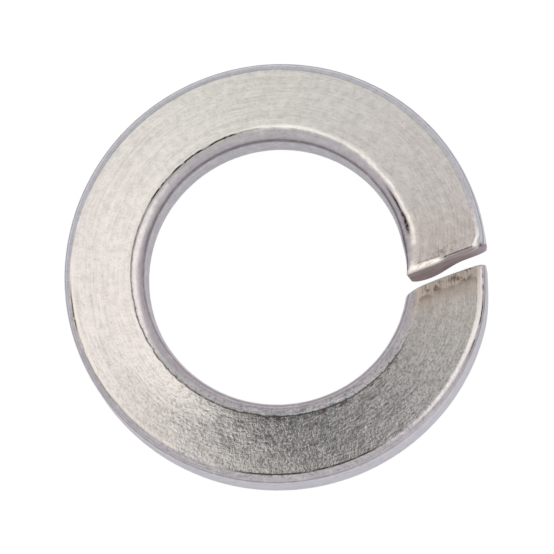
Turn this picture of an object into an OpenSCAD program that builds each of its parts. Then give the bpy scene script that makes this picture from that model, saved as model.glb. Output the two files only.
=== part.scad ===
// Split spring lock washer, one turn of rounded rectangular wire wound left-handed.
// Frame: millimetres, Z along the bore, z = 0 under the lower end, the split on the +X side.
// From the lower end the band runs clockwise seen from +Z and climbs to the upper end.

/* [Ring] */
// Inside diameter of the bore
bore_d = 12.6; // [12.2:0.1:12.9]
// Width of the wire, from the bore wall to the outside wall
section_w = 4; // [3.8:0.05:4.2]
// Thickness of the wire
section_t = 2.5; // [2.35:0.05:2.65]
// Climb of the coil in one full turn, while nothing presses on it
coil_rise = 2.55; // [2.4:0.05:3.2]

/* [Edges] */
// Rounding of the two corners on the outside wall
outer_round = 0.43; // [0.3:0.01:0.5]
// Rounding of the two corners on the bore wall
inner_round = 0.7; // [0.5:0.05:0.8]

/* [Split] */
// Slant of the split against the radius through it
split_skew = 20; // [12:1:25]
// Width of the split, measured square to the cut
split_gap = 0.2; // [0.15:0.05:0.4]
// Distance of the split's middle from the X axis
split_y = -0.06; // [-0.3:0.02:0.3]
// How far the outside foot of the upper cut is set back
undercut = 0.26; // [0:0.02:0.3]
// How far the lower cut stands out at the middle of the wire
cut_bow = 0.08; // [0:0.02:0.1]
// Small bevel round both cut faces
end_break = 0.1; // [0.06:0.02:0.16]

/* [Tips] */
// Angle over which the wire changes shape towards both cuts
tip_run = 15; // [10:1:40]
// Rounding left on the top bore corner at the upper tip, which the shear squared up
upper_tip_round = 0.2; // [0.15:0.05:0.4]
// How far the bore wall stands back at the upper tip
upper_tip_back = 0.16; // [0.1:0.02:0.4]
// Rounding of the outside top corner at the lower tip
lower_tip_round = 0.46; // [0.4:0.01:0.6]
// How far the outside wall is tucked in at the lower tip
lower_tip_tuck = 0.14; // [0.1:0.02:0.3]

/* [Hidden] */
bore_r = bore_d / 2;
outer_r = bore_r + section_w;
mid_r = bore_r + section_w / 2;
// The swept band stands this much past both walls, and is trimmed back to true cylinders.
wall_spare = 0.06;
// Points on each rounding, the angle at which it runs out into the wall, and points across each flat
outer_points = 5;
inner_points = 6;
round_end = 74;
flat_points = 3;
// Steps round the coil, and how many of them lean with the cut at each end
steps = 90;
lean_steps = 9;
$fn = 180;

// Distance of the split's middle line from the axis, signed along the line's normal
split_d = split_y * cos(split_skew) - mid_r * sin(split_skew);

// Angle at which a line at distance d, slanted by split_skew, meets the circle of radius r
function line_angle(d, r) = split_skew + asin(d / r);

// Smooth step from 0 at a to 1 at b
function ease(a, b, x) = let (u = min(1, max(0, (x - a) / (b - a)))) u * u * (3 - 2 * u);

// How far the foot of the upper cut is set back, at radius r and height share h (1 on top)
function set_back(r, h) = undercut * (1 - h) * ease(bore_r + section_w * 0.3, bore_r + section_w * 0.7, r);

// How far the lower cut stands out at radius r: nothing at the walls, the full bow in the middle
function bow(r) = cut_bow * max(0, 1 - pow((r - mid_r) / (section_w / 2), 2));

// Clockwise travel, in degrees, at which a section point leaves each cut; back moves it into the band
function lower_travel(r, back) = -line_angle(split_d - split_gap / 2 + bow(r) - back, r);
function upper_travel(r, h, back) = 360 - line_angle(split_d + split_gap / 2 + set_back(r, h) + back, r);

first_travel = lower_travel(outer_r, 0);
lower_mean = lower_travel(mid_r, end_break);
upper_mean = upper_travel(mid_r, 1, end_break);

// How near a travel is to the lower and the upper tip: 1 at the tip, 0 beyond tip_run
function near_lower(travel) = 1 - ease(lower_mean, lower_mean + tip_run, travel);
function near_upper(travel) = ease(upper_mean - tip_run, upper_mean, travel);

// Height of the underside at a travel: the lowest point of the lower cut is z = 0.
function under_z(travel) = coil_rise * (travel - first_travel) / 360;

// One rounded corner from the flat to the wall: side is 1 outside and -1 at the bore, up is 1 on top.
function corner(wall_r, side, flat_z, up, radius, count, spare) = concat(
    [for (k = [0:count - 1])
        let (a = round_end * k / (count - 1))
        [wall_r - side * radius * (1 - sin(a)), flat_z - up * radius * (1 - cos(a))]],
    [[wall_r + side * spare, flat_z - up * radius * 1.08]]
);

// Points across a flat, between two radii and without them
function across(from_r, to_r, z) = [for (k = [1:flat_points]) [from_r + (to_r - from_r) * k / (flat_points + 1), z]];

function backwards(list) = [for (k = [len(list) - 1:-1:0]) list[k]];

// The wire's section as [radius, height], drawn in by inset on every side, as it is at a travel
function section(inset, travel) = let (
    lower = near_lower(travel),
    upper = near_upper(travel),
    low = inset,
    high = section_t - inset,
    far = outer_r - inset - lower_tip_tuck * lower,
    near = bore_r + inset + upper_tip_back * upper,
    far_spare = inset > 0 ? 0 : wall_spare * (1 - lower),
    near_spare = inset > 0 ? 0 : wall_spare * (1 - upper),
    far_round = outer_round + (lower_tip_round - outer_round) * lower,
    near_top = inner_round + (upper_tip_round - inner_round) * upper
) concat(
    corner(far, 1, low, -1, outer_round, outer_points, far_spare),
    backwards(corner(far, 1, high, 1, far_round, outer_points, far_spare)),
    across(far - far_round, near + near_top, high),
    corner(near, -1, high, 1, near_top, inner_points, near_spare),
    backwards(corner(near, -1, low, -1, inner_round, inner_points, near_spare)),
    across(near + inner_round, far - outer_round, low)
);

ring_count = 2 * (outer_points + inner_points + 2 + flat_points);

// Travel of a section point in step i of the sweep, leaning with the nearer cut
function travel_at(i, p) = let (
    even = lower_mean + (upper_mean - lower_mean) * i / steps,
    h = p[1] / section_t,
    lean_low = max(0, 1 - i / lean_steps),
    lean_high = max(0, 1 - (steps - i) / lean_steps)
) even
    + lean_low * (lower_travel(p[0], end_break) - lower_mean)
    + lean_high * (upper_travel(p[0], h, end_break) - upper_mean);

// A section point placed in space
function place(p, travel) = [p[0] * cos(travel), -p[0] * sin(travel), under_z(travel) + p[1]];

function middle(points) = [for (axis = [0:2]) [for (p = points) 1] * [for (p = points) p[axis]] / len(points)];

lower_face = [for (p = section(end_break, lower_mean)) place(p, lower_travel(p[0], 0))];
upper_face = [for (p = section(end_break, upper_mean)) place(p, upper_travel(p[0], p[1] / section_t, 0))];
rings = concat(
    [lower_face],
    [for (i = [0:steps])
        let (even = lower_mean + (upper_mean - lower_mean) * i / steps)
        [for (p = section(0, even)) place(p, travel_at(i, p))]],
    [upper_face]
);
last_ring = len(rings) - 1;
skin_points = concat([for (ring = rings) each ring], [middle(lower_face), middle(upper_face)]);

function at(ring, k) = ring * ring_count + k % ring_count;

skin_faces = concat(
    [for (i = [0:last_ring - 1]) for (k = [0:ring_count - 1]) each [
        [at(i, k), at(i, k + 1), at(i + 1, k + 1)],
        [at(i, k), at(i + 1, k + 1), at(i + 1, k)]]],
    [for (k = [0:ring_count - 1]) [at(0, k + 1), at(0, k), len(skin_points) - 2]],
    [for (k = [0:ring_count - 1]) [at(last_ring, k), at(last_ring, k + 1), len(skin_points) - 1]]
);

// The whole washer: the swept band, its walls trimmed to the true outside and bore cylinders
module spring_washer() {
    color("silver")
    difference() {
        intersection() {
            polyhedron(points = skin_points, faces = skin_faces, convexity = 6);
            translate([0, 0, -1])
                cylinder(r = outer_r, h = section_t + coil_rise + 2);
        }
        translate([0, 0, -2])
            cylinder(r = bore_r, h = section_t + coil_rise + 4);
    }
}

spring_washer();
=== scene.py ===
# %% [markdown]
# # Spring lock washer
# A spring lock washer is one turn of rounded rectangular steel wire, cut on a slant and wound like
# a screw, so that its two ends stand one wire thickness apart. It goes under a bolt head, is pressed
# flat, and its sharp ends bite when the joint tries to loosen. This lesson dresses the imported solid:
# it makes the same form with a much finer skin, gives it a drawn and tumbled stainless finish, and
# sets it in a light tent seen from almost straight above.

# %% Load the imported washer, the fixed frame of everything below
import math

import bpy
import numpy as np
from mathutils import Matrix, Vector


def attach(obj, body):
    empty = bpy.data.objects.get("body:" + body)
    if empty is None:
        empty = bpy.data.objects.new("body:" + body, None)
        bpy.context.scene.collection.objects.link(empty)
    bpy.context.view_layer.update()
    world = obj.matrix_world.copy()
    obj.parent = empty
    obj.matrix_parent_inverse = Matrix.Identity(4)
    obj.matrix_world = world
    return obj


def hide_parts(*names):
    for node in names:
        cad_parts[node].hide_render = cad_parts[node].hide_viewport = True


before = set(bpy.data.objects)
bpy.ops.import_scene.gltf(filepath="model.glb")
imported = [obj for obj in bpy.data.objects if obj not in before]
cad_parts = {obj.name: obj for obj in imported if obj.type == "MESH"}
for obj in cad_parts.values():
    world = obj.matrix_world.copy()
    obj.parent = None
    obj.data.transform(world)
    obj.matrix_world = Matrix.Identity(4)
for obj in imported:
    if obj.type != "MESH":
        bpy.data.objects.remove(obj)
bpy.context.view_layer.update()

# %% [markdown]
# ## Sizes
# All sizes are millimetres of the real washer, and the same as in the part's source but for the two
# roundings, which take 0.01 mm more because each starts at a crisp edge here. Blender works in
# metres, so a mesh is made in millimetres and scaled once, when its points are stored.

# %% The washer's sizes
MM = 0.001
BORE_R = 6.3
SECTION_W = 4.0
SECTION_T = 2.5
COIL_RISE = 2.55
OUTER_ROUND = 0.44
INNER_ROUND = 0.71
SPLIT_SKEW = math.radians(20)
SPLIT_GAP = 0.2
SPLIT_Y = -0.06
UNDERCUT = 0.26
CUT_BOW = 0.08
BREAK = 0.1
UPPER_BREAK = 0.22
TIP_RUN = 15.0
UPPER_TIP_ROUND = 0.2
UPPER_TIP_BACK = 0.16
LOWER_TIP_ROUND = 0.46
LOWER_TIP_TUCK = 0.14
OUTER_R = BORE_R + SECTION_W
MID_R = BORE_R + SECTION_W / 2
SPLIT_D = SPLIT_Y * math.cos(SPLIT_SKEW) - MID_R * math.sin(SPLIT_SKEW)
print("outside diameter", 2 * OUTER_R, "bore", 2 * BORE_R)

# %% [markdown]
# ## The two cuts
# The wire is sheared on a slant, so a point of the section leaves the cut at an angle that depends
# on how far it is from the axis. A line at signed distance d from the axis, slanted by k, meets the
# circle of radius r at the angle k + asin(d / r). Everything on the washer is counted by its travel:
# degrees gone clockwise from the X axis, seen from above, because the coil climbs that way.

# %% Travel at the cuts
def ease(low, high, x):
    """Smooth step: 0 below low, 1 above high, and 3 u^2 - 2 u^3 between them."""
    u = np.clip((x - low) / (high - low), 0.0, 1.0)
    return u * u * (3 - 2 * u)


def line_angle(d, r):
    """Angle in degrees where the slanted line at distance d meets the circle of radius r."""
    return np.degrees(SPLIT_SKEW + np.arcsin(d / r))


def lower_cut(r):
    """Distance of the lower cut line from the axis; it bows by a parabola across the wire."""
    return SPLIT_D - SPLIT_GAP / 2 + CUT_BOW * np.clip(1 - ((r - MID_R) / (SECTION_W / 2)) ** 2, 0, 1)


def upper_cut(r, h):
    """Distance of the upper cut line from the axis; its outer foot is set back under the edge."""
    outward = ease(BORE_R + 0.3 * SECTION_W, BORE_R + 0.7 * SECTION_W, r)
    set_back = UNDERCUT * (1 - h / SECTION_T) * outward
    return SPLIT_D + SPLIT_GAP / 2 + set_back


def lower_travel(r, back):
    """Travel where the wire starts at radius r, set back from the lower cut line."""
    return -line_angle(lower_cut(r) - back, r)


def upper_travel(r, h, back):
    """Travel where the wire ends at radius r and height h, set back from the upper cut line."""
    return 360 - line_angle(upper_cut(r, h) + back, r)


def upper_break(r, h):
    """Length of the bevel before the upper cut: longer along the outer half of its top border."""
    outward = 0.03 + (UPPER_BREAK - BREAK - 0.03) * ease(7.6, 8.6, r)
    return BREAK + outward * ease(SECTION_T / 2, SECTION_T - 0.2, h)


FIRST_TRAVEL = float(lower_travel(OUTER_R, 0))
LOWER_MEAN = float(lower_travel(MID_R, BREAK))
UPPER_MEAN = float(upper_travel(MID_R, SECTION_T, BREAK))
MM_PER_DEGREE = math.radians(1) * MID_R
print("coil runs from", round(LOWER_MEAN, 2), "to", round(UPPER_MEAN, 2), "degrees of travel")

# %% [markdown]
# ## Unevenness
# Rolled and sheared wire isn't perfect. A displacement texture could roughen it, but then the points
# would move after everything that is measured on them. So a sum of cosines with seeded directions
# and phases gives a smooth random field on the unrolled wire, in millimetres along it and across it.

# %% Smooth random fields
def field(along, across, seed, shortest, longest, waves=28):
    """Scaled mean of cosines of k . (along, across) + phase, with wavelengths drawn between two
    lengths; the result lies mostly between -1 and 1."""
    rng = np.random.default_rng(seed)
    total = np.zeros(np.broadcast(along, across).shape)
    for _ in range(waves):
        k = 2 * math.pi / math.exp(rng.uniform(math.log(shortest), math.log(longest)))
        turn, phase = rng.uniform(0, math.pi), rng.uniform(0, 2 * math.pi)
        total += np.cos(k * (along * math.cos(turn) + across * math.sin(turn)) + phase)
    return total * math.sqrt(2 / waves) / 1.6


def bump_at(x, centre, width):
    """A bell of height 1 about a centre: exp(-((x - centre) / width)^2)."""
    return np.exp(-((x - centre) / width) ** 2)


probe = field(np.linspace(0, 50, 500), 0.0, 7, 0.3, 1.0)
print("field spread", round(float(probe.std()), 3), "largest", round(float(np.abs(probe).max()), 2))

# %% [markdown]
# ## The wire's section
# The wire was rolled: two flats, two upright walls and four rounded corners. On the real washer the
# flat ends in a crisp edge where the rounding starts, so each corner arc starts already tipped by
# EDGE_TIP and ends upright in the wall. A corner that takes w of the width then has the radius
# w / (1 - sin(EDGE_TIP)). A curve with a bevel profile would sweep the wire in a minute, but its
# section can't wear, wander or lean over to a slanted cut, so arrays are used. Each run of the
# section goes from 0 to 1, and all the runs make one closed loop for every step along the coil.

# %% The section as arrays
EDGE_TIP = math.radians(11)
FLAT_STEPS, WALL_STEPS, OUTER_STEPS, INNER_STEPS = 24, 6, 12, 15
# Round the section: foot flat, outer foot corner, outside wall, outer top corner, and then the top
# flat, the bore's top corner, the bore wall and the bore's foot corner
OUTER_RUNS = [FLAT_STEPS, OUTER_STEPS, WALL_STEPS, OUTER_STEPS]
INNER_RUNS = [FLAT_STEPS, INNER_STEPS, WALL_STEPS, INNER_STEPS]
RUN_STEPS = OUTER_RUNS + INNER_RUNS
RUN_STARTS = [int(s) for s in np.concatenate([[0], np.cumsum(RUN_STEPS)])]
GIRTH = RUN_STARTS[-1]
# The points at which the flats meet the corners; the bore's foot is where the loop closes.
OUTER_FOOT, OUTER_TOP, BORE_TOP, BORE_FOOT = [RUN_STARTS[i] for i in (1, 4, 5, 8)]
SEAM_TURN = math.radians(57)
SEAM_DEEP = 0.012
# How far each corner's border wanders: outside top and foot, bore top and foot
ROUGH_EDGES = (0.006, 0.01, 0.012, 0.012)
ROUGH_SEEDS = (11, 12, 13, 14)
# Heights and depths of what is worn, bent or pressed into the top, and how the lip curls
WAVE_HIGH = 0.0008
RAISED_EDGE = 0.029
RAISED_WIDE = 1.4
NOTCH_DEEP = 0.015
PIT_DEEP = 0.03
FLANK_HIGH = 0.055
LIP_LONG = 0.34
LIP_BEND = 0.42


def corner_arc(wall, side, flat, up, width, steps, onto_wall):
    """Corner points at angle a from the flat's normal: wall - q (1 - sin a) out and
    flat - q (cos tip - cos a) up, less a fine groove where the rolls met, at SEAM_TURN."""
    q = width / (1 - math.sin(EDGE_TIP))
    u = np.arange(steps)[None, :] / steps
    a = EDGE_TIP + (math.pi / 2 - EDGE_TIP) * (u if onto_wall else 1 - u)
    groove = SEAM_DEEP * bump_at(a, SEAM_TURN, 0.09)
    r = wall - side * (q * (1 - np.sin(a)) + groove * np.sin(a))
    h = flat - up * (q * (math.cos(EDGE_TIP) - np.cos(a)) + groove * np.cos(a))
    return r, h, np.degrees(a) + 0 * r


def straight(r0, h0, r1, h1, steps, turn):
    """Points on a line at the shares u - 0.6 sin(2 pi u) / (2 pi), closer together at its ends."""
    u = np.arange(steps)[None, :] / steps
    u = u - 0.6 * np.sin(2 * math.pi * u) / (2 * math.pi)
    r = r0 + (r1 - r0) * u
    return r, h0 + (h1 - h0) * u, turn + 0 * r


def section(travel, inset):
    """Radius, height and turn of the closed section loop at each travel, where turn is the surface's
    tilt off the flat in degrees: 0 on a flat, 90 on a wall."""
    t = travel[:, None]
    along = t * MM_PER_DEGREE
    lower = 1 - ease(LOWER_MEAN, LOWER_MEAN + TIP_RUN, t)
    upper = ease(UPPER_MEAN - TIP_RUN, UPPER_MEAN, t)
    to_upper = (UPPER_MEAN - t) * MM_PER_DEGREE
    far = OUTER_R - inset - LOWER_TIP_TUCK * lower
    near = BORE_R + inset + UPPER_TIP_BACK * upper
    near_foot = near + 0.12 * upper
    seeded = zip(ROUGH_SEEDS, ROUGH_EDGES)
    rough = [deep * field(along, 0.0, seed, 0.35, 2.5) for seed, deep in seeded]
    # The top corners drift: the outer one is wider at the upper cut and narrower opposite the split,
    # and the bore's changes all along the coil.
    far_top = OUTER_ROUND + (LOWER_TIP_ROUND - OUTER_ROUND) * lower + rough[0]
    far_top = far_top + 0.24 * (1 - ease(0.0, 0.45, to_upper)) - 0.13 * bump_at(t, 157, 34)
    far_low = OUTER_ROUND + rough[1]
    tip_round = INNER_ROUND + (UPPER_TIP_ROUND - INNER_ROUND) * upper
    drift = 0.09 * bump_at(t, 45, 30) - 0.05 * bump_at(t, 235, 25) - 0.1 * ease(270, 315, t)
    near_top = tip_round + (rough[2] + drift) * (1 - upper)
    near_low = INNER_ROUND + rough[3]
    low, high = inset + 0 * t, SECTION_T - inset + 0 * t
    drop = math.cos(EDGE_TIP) / (1 - math.sin(EDGE_TIP))
    runs = [
        straight(near_foot + near_low, low, far - far_low, low, FLAT_STEPS, 0.0),
        corner_arc(far, 1, low, -1, far_low, OUTER_STEPS, True),
        straight(far, low + far_low * drop, far, high - far_top * drop, WALL_STEPS, 90.0),
        corner_arc(far, 1, high, 1, far_top, OUTER_STEPS, False),
        straight(far - far_top, high, near + near_top, high, FLAT_STEPS, 0.0),
        corner_arc(near, -1, high, 1, near_top, INNER_STEPS, True),
        straight(near, high - near_top * drop, near_foot, low + near_low * drop, WALL_STEPS, 90.0),
        corner_arc(near_foot, -1, low, -1, near_low, INNER_STEPS, False),
    ]
    r, h, turn = [np.concatenate([run[i] for run in runs], axis=1) for i in range(3)]
    turn[:, [OUTER_FOOT, BORE_TOP]] = 0.0
    return r, h + relief(r, h, turn, t, along, to_upper, near + near_top), turn


def relief(r, h, turn, t, along, to_upper, border):
    """Height changes, which fade with the square of the turn's cosine: shallow waves, the worn inner
    edge of the upper coil, the raised inner edge opposite the split, and the curled lip of the upper
    cut with its notch. The wear and the lip fall with the square of the distance past their start.
    A pit lies on the outer corner there, and the lower tip's outer corner has a flatter flank."""
    flatness = np.cos(np.radians(turn)) ** 2
    top = np.where(h > SECTION_T / 2, 1.0, 0.0)
    waves = WAVE_HIGH * field(along, r, 21, 0.5, 2.2, 40)
    worn_width = 0.21 + 0.09 * ease(333, 346, t) + 0.02 * field(along, 0.0, 22, 0.4, 2.0)
    worn = top * ease(250, 275, t)
    steepness = 0.42 + 0.12 * bump_at(t, 318, 16)
    edge_wear = -steepness * worn * np.clip(border + worn_width - r, 0, worn_width) ** 2
    slope = np.clip((border + RAISED_WIDE - r) / RAISED_WIDE, 0, 1) ** 1.5
    raised_edge = RAISED_EDGE * top * bump_at(t, 136, 30) * slope
    inner_half = 1 - ease(7.6, 8.4, r)
    lumps = 1 + 0.04 * field(r, to_upper, 31, 0.5, 1.6)
    lip = -LIP_BEND * top * inner_half * lumps * np.clip(LIP_LONG - to_upper, 0, LIP_LONG) ** 2
    notch = -NOTCH_DEEP * top * bump_at(r, 7.15, 0.06) * bump_at(to_upper, 0.12, 0.1)
    pit = -PIT_DEEP * top * bump_at(r, 10.03, 0.07) * bump_at(to_upper, 0.05, 0.07)
    flats = waves * (2 * top - 1) + edge_wear + raised_edge + lip + notch
    flank = FLANK_HIGH * top * np.where(r > MID_R, 1, 0) * (1 - ease(10, 30, t)) * bump_at(turn, 46, 16)
    return flatness * flats + flank + pit * np.sin(np.radians(turn))


print("points round the section:", GIRTH)

# %% [markdown]
# ## The whole skin
# The loops are carried along the coil. Near the cuts they lean over to lie parallel to the slant, a
# small bevel turns each loop into the cut face, and smaller and smaller loops close the face on one
# middle point. A point at radius r and travel t lies at x = r cos t, y = -r sin t, and its height is
# the climb at t plus its height in the section.

# %% Carry the section along the coil
COIL_STEPS = 740
LEAN = 36.0
FACE_LOOPS = 12
BREAK_LOOPS = 4
SHEAR_DEEP = 0.012


def coil_steps():
    """Travel of each loop, at the shares u - 0.5 sin(2 pi u) / (2 pi), closer together at the cuts."""
    u = np.linspace(0, 1, COIL_STEPS)
    u = u - 0.5 * np.sin(2 * math.pi * u) / (2 * math.pi)
    return LOWER_MEAN + (UPPER_MEAN - LOWER_MEAN) * u


def place(r, h, travel):
    """Points in space from radius, section height and travel, in millimetres."""
    a = np.radians(travel)
    climb = COIL_RISE * (travel - FIRST_TRAVEL) / 360
    return np.stack([r * np.cos(a), -r * np.sin(a), climb + h], axis=-1)


def wire_loops():
    """The leaning loops of the sweep: radius, height, turn and travel of every point."""
    even = coil_steps()
    r, h, turn = section(even, 0.0)
    lean_low = np.clip(1 - (even - LOWER_MEAN) / LEAN, 0, 1)[:, None]
    lean_high = np.clip(1 - (UPPER_MEAN - even) / LEAN, 0, 1)[:, None]
    travel = even[:, None] + lean_low * (lower_travel(r, BREAK) - LOWER_MEAN)
    travel = travel + lean_high * (upper_travel(r, h, upper_break(r, h)) - UPPER_MEAN)
    return r, h, turn, travel


def end_loops(at_lower):
    """The bevel and the cut face at one end. The bevel turns through 90 degrees; then the face's loops
    shrink towards the middle of the section, with shear streaks about a hundredth of a mm deep."""
    mean = LOWER_MEAN if at_lower else UPPER_MEAN
    rs, hs, turns, ts = [], [], [], []
    for angle in np.linspace(0, math.pi / 2, BREAK_LOOPS + 1)[1:]:
        r, h, turn = section(np.array([mean]), BREAK * (1 - math.cos(angle)))
        left = 1 - math.sin(angle)
        back = BREAK * left if at_lower else upper_break(r, h) * left
        ts.append(lower_travel(r, back) if at_lower else upper_travel(r, h, back))
        rs.append(r)
        hs.append(h)
        turns.append(turn)
    rim_r, rim_h, rim_turn = rs[-1], hs[-1], turns[-1]
    r_mid, h_mid = rim_r.mean(), rim_h.mean()
    for share in np.append(np.linspace(1, 0, FACE_LOOPS + 1)[1:-1], 0.0):
        r, h = r_mid + (rim_r - r_mid) * share, h_mid + (rim_h - h_mid) * share
        streaks = SHEAR_DEEP * field(0.25 * r, h, 41, 0.1, 0.5) * (1 - share ** 6)
        ts.append(lower_travel(r, streaks) if at_lower else upper_travel(r, h, streaks))
        rs.append(r)
        hs.append(h)
        turns.append(rim_turn)
    return [np.concatenate(part) for part in (rs, hs, turns, ts)]


def washer_skin():
    """Vertices, quads, closing triangles and the arrays behind each vertex. The last loop at each end
    has all its points in one place, so it's replaced by a single middle point."""
    lower, upper = end_loops(True), end_loops(False)
    parts = zip(lower, wire_loops(), upper)
    r, h, turn, travel = [np.concatenate([a[-2::-1], b, c[:-1]]) for a, b, c in parts]
    points = place(r, h, travel)
    loops = len(r)
    i, k = np.meshgrid(np.arange(loops - 1), np.arange(GIRTH), indexing="ij")
    after = (k + 1) % GIRTH
    start, ahead = i * GIRTH, (i + 1) * GIRTH
    quads = np.stack([start + k, ahead + k, ahead + after, start + after], axis=-1)
    ring = np.arange(GIRTH)
    ring_after = (ring + 1) % GIRTH
    last = (loops - 1) * GIRTH
    fans = np.concatenate([
        np.stack([ring, ring_after, np.full(GIRTH, loops * GIRTH)], axis=-1),
        np.stack([last + ring_after, last + ring, np.full(GIRTH, loops * GIRTH + 1)], axis=-1),
    ])
    middles = [place(end[0][-1, :1], end[1][-1, :1], end[3][-1, :1]) for end in (lower, upper)]
    vertices = np.concatenate([points.reshape(-1, 3)] + middles)
    return vertices, quads.reshape(-1, 4), fans, (r, h, turn, travel)


skin, quads, fans, (grid_r, grid_h, grid_turn, grid_travel) = washer_skin()
END_LOOPS = FACE_LOOPS - 1 + BREAK_LOOPS
triangles = 2 * len(quads) + len(fans)
print("skin:", len(skin), "points,", triangles, "triangles, lowest", round(float(skin[:, 2].min()), 4))

# %% [markdown]
# ## Into a mesh
# Blender keeps a mesh as flat lists, so whole arrays go in at once with foreach_set, which is much
# faster than adding faces one by one. The mesh is smooth shaded. Rolling left the flats' borders
# crisp, so the edges along them are marked sharp, and the light breaks there as it does on steel.

# %% Put the skin into a mesh
def mesh_from(name, vertices, quads, triangles):
    """A new object whose faces are given as index arrays, with its points scaled to metres."""
    mesh = bpy.data.meshes.new(name)
    corners = np.concatenate([quads.ravel(), triangles.ravel()]).astype(np.int32)
    sizes = np.concatenate([np.full(len(quads), 4), np.full(len(triangles), 3)]).astype(np.int32)
    starts = np.concatenate([[0], np.cumsum(sizes)[:-1]]).astype(np.int32)
    mesh.vertices.add(len(vertices))
    mesh.vertices.foreach_set("co", (vertices * MM).astype(np.float32).ravel())
    mesh.loops.add(len(corners))
    mesh.loops.foreach_set("vertex_index", corners)
    mesh.polygons.add(len(sizes))
    mesh.polygons.foreach_set("loop_start", starts)
    mesh.polygons.foreach_set("loop_total", sizes)
    mesh.update(calc_edges=True)
    obj = bpy.data.objects.new(name, mesh)
    bpy.context.scene.collection.objects.link(obj)
    return obj


def crease_flats(obj, loops):
    """Marks the edges that run along the four crisp borders of the flats as sharp."""
    mesh = obj.data
    ends = np.empty(2 * len(mesh.edges), np.int32)
    mesh.edges.foreach_get("vertices", ends)
    ends = ends.reshape(-1, 2)
    column, loop = ends % GIRTH, ends // GIRTH
    border = np.isin(column[:, 0], [OUTER_FOOT, OUTER_TOP, BORE_TOP, BORE_FOOT % GIRTH])
    lengthwise = column[:, 0] == column[:, 1]
    off_the_cuts = (loop.min(axis=1) >= END_LOOPS) & (loop.max(axis=1) < loops - END_LOOPS)
    sharp = border & lengthwise & off_the_cuts
    layer = mesh.attributes.new("sharp_edge", "BOOLEAN", "EDGE")
    layer.data.foreach_set("value", sharp)
    return int(sharp.sum())


washer = mesh_from("washer_skin", skin, quads, fans)
washer.data.shade_smooth()
print("sharp edges:", crease_flats(washer, len(grid_r)))
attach(washer, "root")
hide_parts("spring_washer")

# %% [markdown]
# ## What the finish follows
# The finish changes along the wire, down its corners and near the cuts, so each vertex carries a few
# numbers that the material reads: the turn off the flat, distances from the flats' borders and from
# the cuts, and how strongly some marks show there. They could be painted as vertex colours by hand,
# but they come out of the arrays that made the shape, so they stay in place when a size changes.

# %% Numbers carried by the vertices
def carry(obj, name, values, middle=0.0):
    """Stores one number per vertex under a name that a material can read."""
    layer = obj.data.attributes.new(name, "FLOAT", "POINT")
    layer.data.foreach_set("value", np.append(values.ravel(), [middle, middle]).astype(np.float32))


def run_length(r, h):
    """Distance gone round the section from its first point, for each loop; the last column is the
    whole girth."""
    step = np.hypot(np.diff(r, axis=1, append=r[:, :1]), np.diff(h, axis=1, append=h[:, :1]))
    return np.concatenate([np.zeros((len(r), 1)), np.cumsum(step, axis=1)], axis=1)


grid_run = run_length(grid_r, grid_h)
whole = grid_run[:, -1:]
here = grid_run[:, :-1]


def past_borders(first, last):
    """Distance in mm past the nearer of two borders: plus on the corner side, minus on the flats."""
    a, b = grid_run[:, first:first + 1], grid_run[:, last:last + 1]
    inside = (here - a) % whole
    length = (b - a) % whole
    on_corner = np.minimum(inside, length - inside)
    beyond = np.minimum(inside - length, whole - inside)
    return np.where(inside <= length, on_corner, -beyond)


on_top = np.where(grid_h > SECTION_T / 2, 1.0, 0.0)
outer_past = past_borders(OUTER_FOOT, OUTER_TOP)
bore_past = past_borders(BORE_TOP, BORE_FOOT)

# How far a point is behind each cut, in mm. Away from that end of the coil it just counts as far.
FAR_OFF = 9.0
line_d = grid_r * np.sin(np.radians(-grid_travel) - SPLIT_SKEW)
lower_gone = np.where(grid_travel < 60, lower_cut(grid_r) - line_d, FAR_OFF)
upper_left = np.where(grid_travel > 300, line_d - upper_cut(grid_r, grid_h), FAR_OFF)

# A sheared face takes in the last two steps of its bevel.
cut_face = np.zeros_like(grid_r)
cut_face[:END_LOOPS - 2] = 1.0
cut_face[-END_LOOPS + 2:] = 1.0
inner_side = np.where(grid_r < MID_R, 1.0, 0.0)
outer_side = 1 - inner_side
top_skin = on_top * (1 - cut_face)

carry(washer, "turn", grid_turn)
carry(washer, "past_border", np.maximum(outer_past, bore_past), 1.0)
carry(washer, "cut_face", cut_face, 1.0)
print("girth of the wire halfway round", round(float(whole[len(whole) // 2, 0]), 2), "mm")

# %% [markdown]
# ## Painted shade and light, dirt, grain and marks
# Painted shade darkens the crisp borders of the flats and the bore corner by the upper tip, there
# are dark marks at both tips, and heat or oil stained the steel by the lower cut. Painted light
# brightens the outside wall, the upper cut's lip and a few borders. All of it could be painted on an
# image, but an image is fixed to one size, so each mark is a smooth function of travel, radius or
# turn: it says where the mark lies and how strong it is, and the material's patterns then break it up.

# %% Painted shade on the borders, flecks and stains
def stretch(x, rise, full, wane, gone):
    """1 from full to wane: a smooth step up from rise, times a smooth step down to gone."""
    return ease(rise, full, x) * (1 - ease(wane, gone, x))


# How strong the painted shade is on a border of the upper flat, and the travels where it starts, is
# full, wanes and ends. It is ragged on the bore's border, most of all near the lower tip.
INNER_BORDER_SHADE = [
    (0.7, 23, 34, 100, 125),
    (0.75, 100, 125, 165, 178),
    (0.55, 165, 178, 200, 212),
    (1.0, 205, 214, 248, 258),
    (0.5, 246, 252, 262, 268),
]
OUTER_BORDER_SHADE = [
    (0.9, 57, 63, 96, 108),
    (0.45, 128, 145, 175, 180),
    (0.5, 163, 166, 172, 176),
]
t = grid_travel
inner_border_shade = sum(strength * stretch(t, *ends) for strength, *ends in INNER_BORDER_SHADE)
outer_border_shade = sum(strength * stretch(t, *ends) for strength, *ends in OUTER_BORDER_SHADE)
painted_border_shade = inner_side * inner_border_shade + outer_side * outer_border_shade
ragged = 0.65 * (1 - ease(150, 190, t)) + 0.5 * (1 - ease(45, 70, t))
carry(washer, "ragged", 0.35 + inner_side * ragged)
carry(washer, "painted_border_shade", np.clip(painted_border_shade, 0, 2) * on_top)

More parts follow.
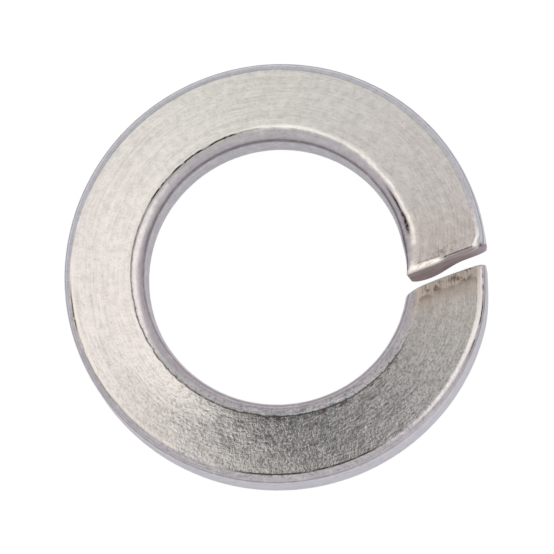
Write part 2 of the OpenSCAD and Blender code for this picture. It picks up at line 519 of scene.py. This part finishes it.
# Flecks lie beside the bore's border, before the upper cut's crease and behind the lower cut.
beside_bore = bump_at(bore_past, -0.06, 0.13) * np.where(bore_past < 0.03, 1, 0)
flecks = beside_bore * stretch(t, 25, 45, 95, 140)
flecks = flecks + 0.8 * bump_at(upper_left, 0.55, 0.3) * bump_at(grid_r, 8.4, 0.5)
flecks = flecks + bump_at(lower_gone, 0.32, 0.26) * stretch(grid_r, 6.95, 7.1, 9.2, 9.6)
flecks = flecks + bump_at(lower_gone, 0.1, 0.2) * bump_at(grid_r, 9.5, 0.4)
carry(washer, "flecks", np.clip(flecks, 0, 1) * on_top)

# The brown stain and the oxide film lie on the flat behind the lower cut; the stain fades far out.
stain = 0.75 * stretch(lower_gone, -0.2, 0.35, 0.3, 1.9) + 0.25 * (1 - ease(1.5, 5.5, lower_gone))
film = (1 - ease(0.3, 0.75, lower_gone)) * (1 - ease(12, 40, grid_turn))
carry(washer, "stain", stain * np.where(grid_turn < 30, 1, 0) * on_top)
carry(washer, "film", film * top_skin)
# Share of the bore's border that gets painted shade, printed as its dirty share.
print("dirty share of the bore's border:", round(float((painted_border_shade[:, BORE_TOP] > 0.1).mean()), 2))

# %% Grain, and painted light and shade on the walls
# The grain is coarsest and dullest on the lower right of the ring, less so on the outer third, and
# the rings are faintest before the upper cut. Painted light makes the outside wall paler, most on one
# side, and painted shade makes the bore wall darker on one side.
on_flat = on_top * (1 - ease(25, 60, grid_turn))
outer_third = ease(8.6, 9.4, grid_r)
carry(washer, "coarse_grain", np.exp(-np.abs((t - 75) / 62) ** 4) * on_flat * (1 - 0.3 * outer_third))
carry(washer, "dull_part", np.exp(-np.abs((t - 74) / 34) ** 3) * on_flat * (1 - 0.9 * outer_third))
carry(washer, "ring_show", 1 - 0.6 * bump_at(t, 322, 48))
carry(washer, "seam_kept", 1 - 0.75 * bump_at(t, 43, 17) * outer_side)
carry(washer, "green_drift", bump_at(t, 262, 45) + 0.5 * bump_at(t, 75, 30))
carry(washer, "warm_end", (1 - ease(0.8, 4.0, upper_left)) * on_top)
# Painted light on the outside wall: paler from the corner down, most on the left of the ring.
pale = 0.5 * ease(38, 62, grid_turn) + 0.8 * ease(12, 35, grid_turn) * ease(145, 195, t)
carry(washer, "outer_wall_painted_light", outer_side * np.clip(pale, 0, 1))
# Painted shade on the bore wall, strongest at the top of the ring.
carry(washer, "bore_shade", inner_side * ease(55, 70, grid_turn) * bump_at(t, 262, 75))
print("flat share of the points:", round(float((grid_turn < 15).mean()), 2))

# %% Painted shade and dark marks at the tips
# Painted shade: a streak slides down the bore corner towards the upper tip and widens, above a fainter
# one.
streak_turn = 29 - 4 * ease(323, 347, t)
streak_width = 4.5 + 4 * ease(335, 343, t)
bore_corner_painted_shade = bump_at(grid_turn, streak_turn, streak_width) * stretch(t, 321, 332, 344, 350)
bore_corner_painted_shade = bore_corner_painted_shade + 0.45 * bump_at(grid_turn, 56, 4) * stretch(t, 322, 330, 344, 350)
bore_corner_painted_shade = bore_corner_painted_shade + 0.6 * bump_at(grid_turn, 57, 7) * ease(344, 349, t)

# Broken dashes run down the outer corner behind the lower cut, and a pit lies at the upper cut.
dashed = np.clip(0.85 + 1.1 * field(t * MM_PER_DEGREE, 0.0, 51, 0.25, 1.1), 0, 1)
outer_dark = dashed * bump_at(grid_turn, 43, 4) * (1 - ease(19, 28, t)) * ease(0.3, 0.7, lower_gone)
outer_dark = outer_dark + bump_at(grid_r, 10.04, 0.05) * bump_at(upper_left, 0.17, 0.08)

# Behind the upper cut's bevel lie a crease on the outer half and a notch in the lip.
crease = bump_at(upper_left, 0.2, 0.035) * stretch(grid_r, 7.9, 8.3, 9.55, 9.65)
notch_dark = bump_at(grid_r, 7.13, 0.05) * bump_at(upper_left, 0.19, 0.11)
dark = inner_side * bore_corner_painted_shade + outer_side * outer_dark + crease + notch_dark
carry(washer, "dark_marks_and_shade", np.clip(dark, 0, 1) * on_top)
print("darkest mark", round(float(dark.max()), 2))

# %% Painted highlights
# Painted highlights on the upper cut's lip and the outer end of its bevel, the bore's border beside
# them, a thin line on the outer border opposite the split, and the lower tip's flatter flank.
painted_highlight = (1 - ease(0.2, 0.32, upper_left)) * (1 - ease(7.95, 8.2, grid_r))
painted_highlight = painted_highlight + bump_at(grid_r, 9.84, 0.06) * (1 - ease(0.35, 0.7, upper_left))
painted_highlight = painted_highlight + 0.45 * inner_side * bump_at(bore_past, -0.1, 0.13) * ease(342, 349, t)
painted_highlight = painted_highlight + 0.6 * outer_side * bump_at(outer_past, -0.11, 0.07) * stretch(t, 112, 124, 180, 190)
painted_highlight = painted_highlight + 0.5 * outer_side * stretch(grid_turn, 4, 10, 34, 40) * (1 - ease(18, 32, t))
carry(washer, "painted_highlight", np.clip(painted_highlight, 0, 1) * top_skin)
carry(washer, "bevel", (1 - ease(0.13, 0.19, upper_left)) * ease(8.0, 8.4, grid_r) * top_skin)
print("attributes:", [a.name for a in washer.data.attributes if not a.name.startswith(".")])


# %% [markdown]
# ## A map of the unrolled wire
# Drawing lines follow the wire, so they need a map that runs along it and round its section. An
# unwrap would stretch on the coil. Here the distances are known, so the map is simply stored. On the
# sheared faces it is the section itself, seen square on.

# %% A map of the unrolled wire
def at_corners(values, i, k, after):
    """The values at the four corners of every quad."""
    return np.stack([values[i, k], values[i + 1, k], values[i + 1, after], values[i, after]], axis=-1)


def wire_map(obj):
    """A map of the unrolled wire in centimetres: along it for u, round its section for v. A face's
    corners get the values on their own side of the seam, so nothing is smeared there."""
    layer = obj.data.uv_layers.new(name="wire")
    u_all = 0.1 * MM_PER_DEGREE * grid_travel
    v_all = 0.1 * grid_run
    face_rows = np.zeros(len(grid_r), bool)
    face_rows[:END_LOOPS] = True
    face_rows[-END_LOOPS:] = True
    i, k = np.meshgrid(np.arange(len(grid_r) - 1), np.arange(GIRTH), indexing="ij")
    after = (k + 1) % GIRTH
    u, v = at_corners(u_all, i, k, after), at_corners(v_all, i, k, k + 1)
    flat_u, flat_v = at_corners(0.1 * grid_r, i, k, after), at_corners(0.1 * grid_h, i, k, after)
    on_face = (face_rows[i] & face_rows[i + 1])[..., None]
    u, v = np.where(on_face, flat_u, u), np.where(on_face, flat_v, v)
    quads_uv = np.stack([u, v], axis=-1).reshape(-1, 2)
    fan_uv = np.tile([[0.1 * MID_R, 0.05 * SECTION_T]], (6 * GIRTH, 1))
    layer.data.foreach_set("uv", np.concatenate([quads_uv, fan_uv]).astype(np.float32).ravel())


wire_map(washer)
print("maps:", [layer.name for layer in washer.data.uv_layers])

# %% [markdown]
# ## Camera
# The photograph looks down on the washer from 13.5 degrees off its axis, leaning towards the lower
# right, from about ten washer widths away. Those numbers come from fitting the circles of the four
# rims, which is surer than turning a camera by eye, because every rim has to fall into place at once.

# %% Set the camera
VIEW_LEAN = math.radians(13.476)
VIEW_TURN = math.radians(-68.36)
VIEW_DISTANCE = 0.20946
VIEW_TARGET = Vector((0.0, 0.0, 0.002534))
PIXELS_PER_M = 20576.5
IMAGE_SIDE = 554
SENSOR_MM = 36.0


def look(target, lean, turn, distance):
    """A camera matrix looking at target from a lean off the Z axis, with +Y upwards in the image."""
    back = Vector((math.sin(lean) * math.cos(turn), math.sin(lean) * math.sin(turn), math.cos(lean)))
    right = Vector((0, 1, 0)).cross(back).normalized()
    up = back.cross(right)
    stand = target + back * distance
    rows = [(right[i], up[i], back[i], stand[i]) for i in range(3)]
    return Matrix(rows + [(0, 0, 0, 1)])


lens = bpy.data.cameras.new("camera")
lens.sensor_width = SENSOR_MM
lens.lens = SENSOR_MM * VIEW_DISTANCE * PIXELS_PER_M / IMAGE_SIDE
lens.shift_y = -0.45 / IMAGE_SIDE
lens.clip_start = 0.01
lens.clip_end = 20.0
camera = bpy.data.objects.new("camera", lens)
bpy.context.scene.collection.objects.link(camera)
camera.matrix_world = look(VIEW_TARGET, VIEW_LEAN, VIEW_TURN, VIEW_DISTANCE)
bpy.context.scene.camera = camera
print("lens", round(lens.lens, 1), "mm")

# %% [markdown]
# ## Nodes from lists
# A finish with dozens of layers is easier to read as rows of a list than as hundreds of lines that
# each set one socket, so one small function adds any node with its settings and links.

# %% Nodes and colours
def linear(code):
    """Linear colour from an sRGB hex code: ((c + 0.055) / 1.055) ^ 2.4, or c / 12.92 when dark."""
    parts = [int(code[i:i + 2], 16) / 255 for i in (1, 3, 5)]
    return [c / 12.92 if c <= 0.04045 else ((c + 0.055) / 1.055) ** 2.4 for c in parts] + [1.0]


def add_node(tree, kind, settings=None, **inputs):
    """Adds a node, sets its properties, and sets or links its inputs. An input is named as in the
    node with underscores for spaces, or as i and its number where names repeat."""
    node = tree.nodes.new(kind)
    for key, value in (settings or {}).items():
        setattr(node, key, value)
    for key, value in inputs.items():
        by_number = key[0] == "i" and key[1:].isdigit()
        socket = node.inputs[int(key[1:])] if by_number else node.inputs[key.replace("_", " ")]
        if isinstance(value, bpy.types.NodeSocket):
            tree.links.new(value, socket)
        else:
            socket.default_value = value
    return node


def fresh_tree(owner):
    """Switches an owner to nodes and empties its tree."""
    owner.use_nodes = True
    owner.node_tree.nodes.clear()
    return owner.node_tree


print("mid grey is", round(linear("#808080")[0], 3), "in linear light")

# %% [markdown]
# ## Stainless spring steel
# Drawn stainless wire is a warm pale grey. Its flats carry a grain of fine dents, faint lines that
# follow the wire and a few crossing hairlines. Its tumbled corners are softer and its seams darker.
# Painted shade darkens the ragged borders, the bore wall and the bore corner by the upper tip, and
# painted light brightens the outside wall, the upper cut's lip and a few borders. Behind the lower cut
# lie an oxide film and brown stains, and the sheared faces are dull.

# %% The steel's patterns
steel = bpy.data.materials.new("drawn_tumbled_stainless")
tree = fresh_tree(steel)
place_mm = add_node(tree, "ShaderNodeTexCoord").outputs["Object"]
wire_cm = add_node(tree, "ShaderNodeUVMap", {"uv_map": "wire"}).outputs["UV"]
CARRIED = [
    "turn", "past_border", "cut_face", "ragged", "painted_border_shade", "flecks", "stain", "film",
    "coarse_grain", "dull_part", "ring_show", "seam_kept", "green_drift", "warm_end",
    "outer_wall_painted_light", "bore_shade", "dark_marks_and_shade", "painted_highlight", "bevel",
]
carried = {}
for name in CARRIED:
    carried[name] = add_node(tree, "ShaderNodeAttribute", {"attribute_name": name}).outputs["Fac"]
coarse = carried["coarse_grain"]

# Even patterns in space: the cell size in mm, the detail and the roughness of each. The real grain is
# finer than a pixel, so its cells are drawn at 0.135 mm, as coarse as they need to be to show.
clouds = {}
for name, cell, detail, rough in [
    ("grain", 0.135, 2.0, 0.6),
    ("patch", 0.35, 2.0, 0.5),
    ("cloud", 2.2, 3.0, 0.6),
]:
    make = {"Vector": place_mm, "Scale": 1 / (cell * MM), "Detail": detail, "Roughness": rough}
    clouds[name] = add_node(tree, "ShaderNodeTexNoise", None, **make).outputs["Fac"]

# Patterns drawn out along the wire: the turn off its direction, then length and width in mm. The real
# lines and hairlines are a few hundredths wide and are drawn at 0.1 mm, so that they show.
strokes = {}
for name, turn, long, wide, detail in [
    ("lines", 0.0, 2.0, 0.1, 3.0),
    ("rings", 0.0, 9.0, 0.2, 2.0),
    ("dashes", 0.12, 0.5, 0.09, 2.0),
    ("blots", 0.0, 1.5, 0.6, 2.0),
    ("hair_a", 0.7, 1.2, 0.1, 1.0),
    ("hair_b", -0.95, 1.1, 0.11, 1.0),
]:
    scale = (10 / long, 10 / wide, 1.0)
    slant = (0, 0, turn)
    drawn_out = add_node(tree, "ShaderNodeMapping", None, Vector=wire_cm, Rotation=slant, Scale=scale)
    make = {"Vector": drawn_out.outputs[0], "Scale": 1.0, "Detail": detail, "Roughness": 0.6}
    strokes[name] = add_node(tree, "ShaderNodeTexNoise", None, **make).outputs["Fac"]
print("patterns:", list(clouds) + list(strokes))

# %% The steel's relief
# Each pattern's height is a weight times its noise, and grain counts more where it is coarse.
RELIEF_DEEP = 0.005 * MM
MATH = "ShaderNodeMath"
FUSED = {"operation": "MULTIPLY_ADD"}
PRODUCT = {"operation": "MULTIPLY", "use_clamp": True}
coarse_weight = add_node(tree, MATH, FUSED, i0=coarse, i1=0.45, i2=0.5).outputs[0]
height = add_node(tree, MATH, PRODUCT, i0=clouds["grain"], i1=coarse_weight).outputs[0]
for pattern, weight in [(clouds["patch"], 0.5), (strokes["lines"], 0.35), (strokes["dashes"], 0.35)]:
    height = add_node(tree, MATH, FUSED, i0=pattern, i1=weight, i2=height).outputs[0]
bump = add_node(tree, "ShaderNodeBump", None, Strength=1.0, Distance=RELIEF_DEEP, Height=height)
relief_normal = bump.outputs[0]
print("relief of", round(RELIEF_DEEP / MM * (0.95 + 0.5 + 0.35 + 0.35), 4), "mm at most")

# %% [markdown]
# ## Colour in layers
# Metal takes its look from what it reflects, and its colour only tints that. So the dirt, lines,
# stains, painted shade and painted highlights are thin layers of darker, paler or warmer tint over
# one bare colour, each with its own mask, and they can be judged against the real washer one at a time.

# %% Where each colour lies
# A band turns a pattern into a mask: it goes from low to high while the pattern goes from start to
# end.
BAND = "ShaderNodeMapRange"
SOFT = {"interpolation_type": "SMOOTHSTEP"}
masks = {}
for name, pattern, start, end, low, high in [
    ("pits", clouds["grain"], 0.48, 0.3, 0.0, 0.15),
    ("drawn", strokes["lines"], 0.5, 0.3, 0.0, 0.14),
    ("dull_rings", strokes["rings"], 0.5, 0.32, 0.0, 0.19),
    ("clear_rings", strokes["rings"], 0.52, 0.68, 0.0, 0.28),
    ("dull_patch", clouds["patch"], 0.49, 0.34, 0.0, 0.13),
    ("clear_patch", clouds["patch"], 0.53, 0.68, 0.0, 0.25),
    ("scratch_a", strokes["hair_a"], 0.62, 0.75, 0.0, 0.35),
    ("scratch_b", strokes["hair_b"], 0.62, 0.75, 0.0, 0.35),
    ("low_grain", clouds["grain"], 0.5, 0.34, 0.0, 0.5),
    ("high_grain", clouds["grain"], 0.56, 0.72, 0.0, 0.78),
    ("dark_dash", strokes["dashes"], 0.44, 0.3, 0.0, 0.6),
    ("clear_dash", strokes["dashes"], 0.56, 0.72, 0.0, 0.8),
    ("blot", strokes["blots"], 0.54, 0.36, 0.0, 0.5),
    ("corner", carried["turn"], 15.0, 30.0, 0.0, 0.7),
    ("wall", carried["turn"], 52.0, 66.0, 0.0, 0.85),
    ("streaky", strokes["dashes"], 0.3, 0.62, 0.6, 1.0),
    ("unbroken", clouds["patch"], 0.36, 0.46, 0.5, 1.0),
    ("grain_broken", clouds["grain"], 0.3, 0.55, 0.6, 1.25),
    ("sheared", strokes["lines"], 0.3, 0.7, 0.0, 1.0),
]:
    masks[name] = add_node(tree, BAND, SOFT, i0=pattern, i1=start, i2=end, i3=low, i4=high).outputs[0]

# The seam lies where the turn is within a few degrees of SEAM_TURN.
LESS = {"operation": "SUBTRACT"}
TIMES = {"operation": "MULTIPLY"}
UNSIGNED = {"operation": "ABSOLUTE"}
seam = add_node(tree, MATH, LESS, i0=carried["turn"], i1=math.degrees(SEAM_TURN)).outputs[0]
seam = add_node(tree, MATH, UNSIGNED, i0=seam).outputs[0]
masks["seam"] = add_node(tree, BAND, SOFT, i0=seam, i1=10.0, i2=1.0, i3=0.0, i4=0.85).outputs[0]

# The painted shade lies where the distance past the border, made ragged by two patterns, is near zero.
wander = add_node(tree, MATH, FUSED, i0=clouds["patch"], i1=1.2, i2=clouds["grain"]).outputs[0]
wander = add_node(tree, MATH, LESS, i0=wander, i1=1.1).outputs[0]
swing = add_node(tree, MATH, TIMES, i0=carried["ragged"], i1=0.12).outputs[0]
wander = add_node(tree, MATH, FUSED, i0=wander, i1=swing, i2=carried["past_border"]).outputs[0]
wander = add_node(tree, MATH, UNSIGNED, i0=wander).outputs[0]
masks["ragged"] = add_node(tree, BAND, SOFT, i0=wander, i1=0.062, i2=0.02, i3=0.0, i4=1.0).outputs[0]

# Flecks are torn where dashes, patches and grain are all low.
torn = add_node(tree, MATH, FUSED, i0=clouds["patch"], i1=2.2, i2=strokes["dashes"]).outputs[0]
torn = add_node(tree, MATH, FUSED, i0=clouds["grain"], i1=0.8, i2=torn).outputs[0]
masks["torn"] = add_node(tree, BAND, SOFT, i0=torn, i1=2.02, i2=1.66, i3=0.0, i4=1.0).outputs[0]

# The oxide film ends raggedly: the number carried for it is lifted by two patterns before the band.
film = add_node(tree, MATH, FUSED, i0=clouds["patch"], i1=1.6, i2=carried["film"]).outputs[0]
film = add_node(tree, MATH, FUSED, i0=strokes["dashes"], i1=0.5, i2=film).outputs[0]
masks["film"] = add_node(tree, BAND, SOFT, i0=film, i1=1.2, i2=1.85, i3=0.0, i4=1.0).outputs[0]

# Some masks count only where a number carried by the vertices says so.
for name, mask, where in [
    ("low_grain", masks["low_grain"], coarse),
    ("high_grain", masks["high_grain"], coarse),
    ("dark_dash", masks["dark_dash"], coarse),
    ("clear_dash", masks["clear_dash"], coarse),
    ("blot", masks["blot"], carried["dull_part"]),
    ("green", carried["green_drift"], 0.8),
    ("warm_end", carried["warm_end"], 0.6),
    ("stain", masks["streaky"], carried["stain"]),
    ("film", masks["film"], masks["streaky"]),
    ("bore_shade", carried["bore_shade"], 0.1),
    ("outer_wall_painted_light", carried["outer_wall_painted_light"], 0.8),
    ("fleck", masks["torn"], carried["flecks"]),
    ("seam", masks["seam"], carried["seam_kept"]),
    ("dull_rings", masks["dull_rings"], carried["ring_show"]),
    ("clear_rings", masks["clear_rings"], carried["ring_show"]),
    ("line", masks["ragged"], carried["painted_border_shade"]),
    ("mark", masks["grain_broken"], carried["dark_marks_and_shade"]),
]:
    masks[name] = add_node(tree, MATH, PRODUCT, i0=mask, i1=where).outputs[0]
masks["line"] = add_node(tree, MATH, PRODUCT, i0=masks["line"], i1=masks["unbroken"]).outputs[0]
masks["seam"] = add_node(tree, MATH, PRODUCT, i0=masks["seam"], i1=masks["streaky"]).outputs[0]
masks["stain"] = add_node(tree, MATH, PRODUCT, i0=masks["stain"], i1=0.55).outputs[0]
masks["fleck"] = add_node(tree, MATH, PRODUCT, i0=masks["fleck"], i1=0.75).outputs[0]
print("masks:", len(masks))

# %% The steel's colours
# Each layer lies over the ones before it: the mask, its colour, and what the eye gets from it.
MIX = "ShaderNodeMix"
RGBA = {"data_type": "RGBA"}
steel_light, steel_dim = linear("#E4E0DF"), linear("#DCD8D5")
colour = add_node(tree, MIX, RGBA, i0=clouds["cloud"], i6=steel_light, i7=steel_dim).outputs[2]
for mask, code in [
    (masks["green"], "#DADBD8"),  # a green-grey cast on the right of the ring
    (masks["warm_end"], "#DCD0CC"),  # a warm cast at the upper cut
    (masks["corner"], "#E4DADD"),  # tumbled corners, faintly mauve
    (masks["wall"], "#D8D9DC"),  # walls, plain grey
    (masks["outer_wall_painted_light"], "#F0F3F8"),  # painted light on the outside wall
    (masks["bore_shade"], "#8C8C90"),  # painted shade on the bore wall
    (masks["pits"], "#706A66"),  # fine dirt in the lowest grain
    (masks["drawn"], "#8E8885"),  # drawing lines
    (masks["dull_rings"], "#A9A6A4"),  # broad brushed rings, dull
    (masks["clear_rings"], "#F2EFEE"),  # broad brushed rings, bright
    (masks["dull_patch"], "#9C9896"),  # faint mottling, dull
    (masks["clear_patch"], "#F4F2F0"),  # faint mottling, bright
    (masks["scratch_a"], "#B8B2B0"),  # hairlines crossing the rings, dull
    (masks["scratch_b"], "#F4F0EF"),  # hairlines the other way, bright
    (masks["blot"], "#8E9092"),  # dull blots in the coarse part
    (masks["low_grain"], "#8A8A8A"),  # its hollows
    (masks["high_grain"], "#F4F4F4"),  # its polished crests
    (masks["dark_dash"], "#777778"),  # its short strokes, dark
    (masks["clear_dash"], "#F2F2F4"),  # its short strokes, bright
    (masks["seam"], "#958C91"),  # the seam where the rolls met
    (masks["film"], "#FFF7EE"),  # the oxide film at the lower cut
    (masks["stain"], "#C0AA8A"),  # brown stain behind the lower cut
    (masks["fleck"], "#6A5038"),  # torn flecks of it, and dirt
    (carried["bevel"], "#AFA3A5"),  # the mauve-grey bevel of the upper cut
    (masks["line"], "#3A322C"),  # painted shade along the ragged borders
    (masks["mark"], "#3B302C"),  # painted shade streaks on the bore corner, and dark marks and pits at the tips
    (carried["painted_highlight"], "#F8F3EC"),  # painted highlight on the lip, the borders and the flank, the brightest metal here
]:
    colour = add_node(tree, MIX, RGBA, i0=mask, i6=colour, i7=linear(code)).outputs[2]

# The sheared faces are dull mauve grey, streaked along the shear.
shear_dark, shear_light = linear("#988A8C"), linear("#D8CBCF")
shear = add_node(tree, MIX, RGBA, i0=masks["sheared"], i6=shear_dark, i7=shear_light).outputs[2]
colour = add_node(tree, MIX, RGBA, i0=carried["cut_face"], i6=colour, i7=shear).outputs[2]
print("bare steel is", [round(c, 2) for c in steel_light[:3]], "in linear light")

# %% The steel's shine
# Flats are smoother than the tumbled corners, and the sheared faces are the dullest. Where the oxide
# film covers the steel it isn't metallic.
shine = add_node(tree, BAND, None, i0=carried["turn"], i1=3.0, i2=30.0, i3=0.12, i4=0.28).outputs[0]
for name, duller in [("cut_face", 0.25), ("painted_highlight", 0.1), ("bevel", 0.2), ("stain", 0.14)]:
    shine = add_node(tree, MATH, FUSED, i0=carried[name], i1=duller, i2=shine).outputs[0]
bareness = add_node(tree, MATH, FUSED, i0=masks["film"], i1=-1.0, i2=1.0).outputs[0]
finish = {"Base_Color": colour, "Metallic": bareness, "Roughness": shine, "Normal": relief_normal}
metal = add_node(tree, "ShaderNodeBsdfPrincipled", None, **finish)
add_node(tree, "ShaderNodeOutputMaterial", None, Surface=metal.outputs[0])
washer.data.materials.append(steel)
print("steel nodes:", len(tree.nodes))

# %% [markdown]
# ## The table
# A pale table of matte paper. The camera sees it white with the washer's faint shadow on it, and the
# metal sees it with a slight glow, as paper under the tent's whole light. One flat face is enough,
# and a light path tells which of the two is looking.

# %% Floor
FLOOR_HALF = 3000.0
corners = FLOOR_HALF * np.array([[-1, -1, 0], [1, -1, 0], [1, 1, 0], [-1, 1, 0]], float)
floor = mesh_from("floor", corners, np.array([[0, 1, 2, 3]]), np.zeros((0, 3), int))
paper = bpy.data.materials.new("white_table_paper")
tree = fresh_tree(paper)
rays = add_node(tree, "ShaderNodeLightPath").outputs
matte = add_node(tree, "ShaderNodeBsdfDiffuse", None, Color=linear("#ECEAEE")).outputs[0]
glow = add_node(tree, "ShaderNodeEmission", None, Color=linear("#F2F2F6"), Strength=0.18).outputs[0]
lit = add_node(tree, "ShaderNodeAddShader", None, i0=matte, i1=glow).outputs[0]
glossy, direct = rays["Is Glossy Ray"], rays["Is Camera Ray"]
to_metal = add_node(tree, "ShaderNodeMixShader", None, i0=glossy, i1=matte, i2=lit).outputs[0]
shade = add_node(tree, "ShaderNodeBsdfDiffuse", None, Color=linear("#5A5A5A")).outputs[0]
bright = add_node(tree, "ShaderNodeEmission", None, Color=(1, 1, 1, 1), Strength=0.955).outputs[0]
seen = add_node(tree, "ShaderNodeAddShader", None, i0=shade, i1=bright).outputs[0]
table = add_node(tree, "ShaderNodeMixShader", None, i0=direct, i1=to_metal, i2=seen).outputs[0]
add_node(tree, "ShaderNodeOutputMaterial", None, Surface=table)
floor.data.materials.append(paper)
print("table", round(2 * FLOOR_HALF * MM), "m wide")

# %% [markdown]
# ## Light
# The tent is pale grey, and its top brightens and warms towards the front and the left. A round
# bright card hangs near the top, a small dark opening lies beside it, and the rim at table height is
# dim. These soft shapes give the flats their slow change of tone, and two soft lamps light the edges.
# A photographed studio could light it too, but here each shape is a line that can be moved alone.

# %% World
world = bpy.data.worlds.new("light_tent")
bpy.context.scene.world = world
tree = fresh_tree(world)
rays = add_node(tree, "ShaderNodeLightPath").outputs
way = add_node(tree, "ShaderNodeTexCoord").outputs["Generated"]
axes = add_node(tree, "ShaderNodeSeparateXYZ", None, Vector=way).outputs
# The top brightens from grey to warm white towards the front and the left.
to_front = add_node(tree, BAND, SOFT, i0=axes["Y"], i1=0.669, i2=-0.116, i3=0.0, i4=1.0).outputs[0]
to_left = add_node(tree, BAND, SOFT, i0=axes["X"], i1=0.062, i2=-0.092, i3=0.0, i4=1.0).outputs[0]
panel = add_node(tree, MATH, PRODUCT, i0=to_front, i1=to_left).outputs[0]
cloth = add_node(tree, MIX, RGBA, i0=panel, i6=linear("#8E8F90"), i7=linear("#FFFAF5")).outputs[2]
# Round patches: their direction, the distances where they end and are full, and the colour inside.
# The first keeps the cloth as it is inside and is an even grey outside.
for centre, outer, inner, code in [
    ((-0.04, 0.2, 0.979), 0.55, 0.3, None),
    ((0.05, -0.05, 0.997), 0.17, 0.09, "#FFFAF5"),
    ((0.042, 0.181, 0.983), 0.062, 0.040, "#08090A"),
]:
    gap = add_node(tree, "ShaderNodeVectorMath", {"operation": "DISTANCE"}, i0=way, i1=centre)
    gap = gap.outputs["Value"]
    inside = add_node(tree, BAND, SOFT, i0=gap, i1=outer, i2=inner, i3=0.0, i4=1.0).outputs[0]
    if code is None:
        cloth = add_node(tree, MIX, RGBA, i0=inside, i6=linear("#B0B0B3"), i7=cloth).outputs[2]
    else:
        cloth = add_node(tree, MIX, RGBA, i0=inside, i6=cloth, i7=linear(code)).outputs[2]
low = add_node(tree, BAND, SOFT, i0=axes["Z"], i1=0.3, i2=0.02, i3=0.0, i4=0.7).outputs[0]
cloth = add_node(tree, MIX, RGBA, i0=low, i6=cloth, i7=linear("#8C8C90")).outputs[2]
tent = add_node(tree, "ShaderNodeBackground", None, Color=cloth, Strength=1.35).outputs[0]
white = add_node(tree, "ShaderNodeBackground", None, Color=(1, 1, 1, 1), Strength=1.0).outputs[0]
direct = rays["Is Camera Ray"]
both = add_node(tree, "ShaderNodeMixShader", None, i0=direct, i1=tent, i2=white).outputs[0]
add_node(tree, "ShaderNodeOutputWorld", None, Surface=both)
print("world nodes:", len(tree.nodes))

# %% Lamps
def softbox(name, way, distance, wide, tall, radiance, colour):
    """A rectangular lamp facing the washer that shows as an even panel: power = radiance pi area."""
    lamp = bpy.data.lights.new(name, "AREA")
    lamp.shape = "RECTANGLE"
    lamp.size, lamp.size_y = wide, tall
    lamp.energy = radiance * math.pi * wide * tall
    lamp.color = linear(colour)[:3]
    obj = bpy.data.objects.new(name, lamp)
    out = Vector(way).normalized()
    obj.location = out * distance
    obj.rotation_euler = out.to_track_quat("Z", "Y").to_euler()
    obj.visible_camera = False
    bpy.context.scene.collection.objects.link(obj)


softbox("left_lamp", (-0.53, 0.16, 0.83), 1.2, 0.5, 0.42, 0.46, "#FFF8F0")
softbox("right_lamp", (0.66, 0.02, 0.75), 1.1, 0.95, 0.68, 0.6, "#FFFAF4")
bpy.context.scene.view_settings.view_transform = "Standard"
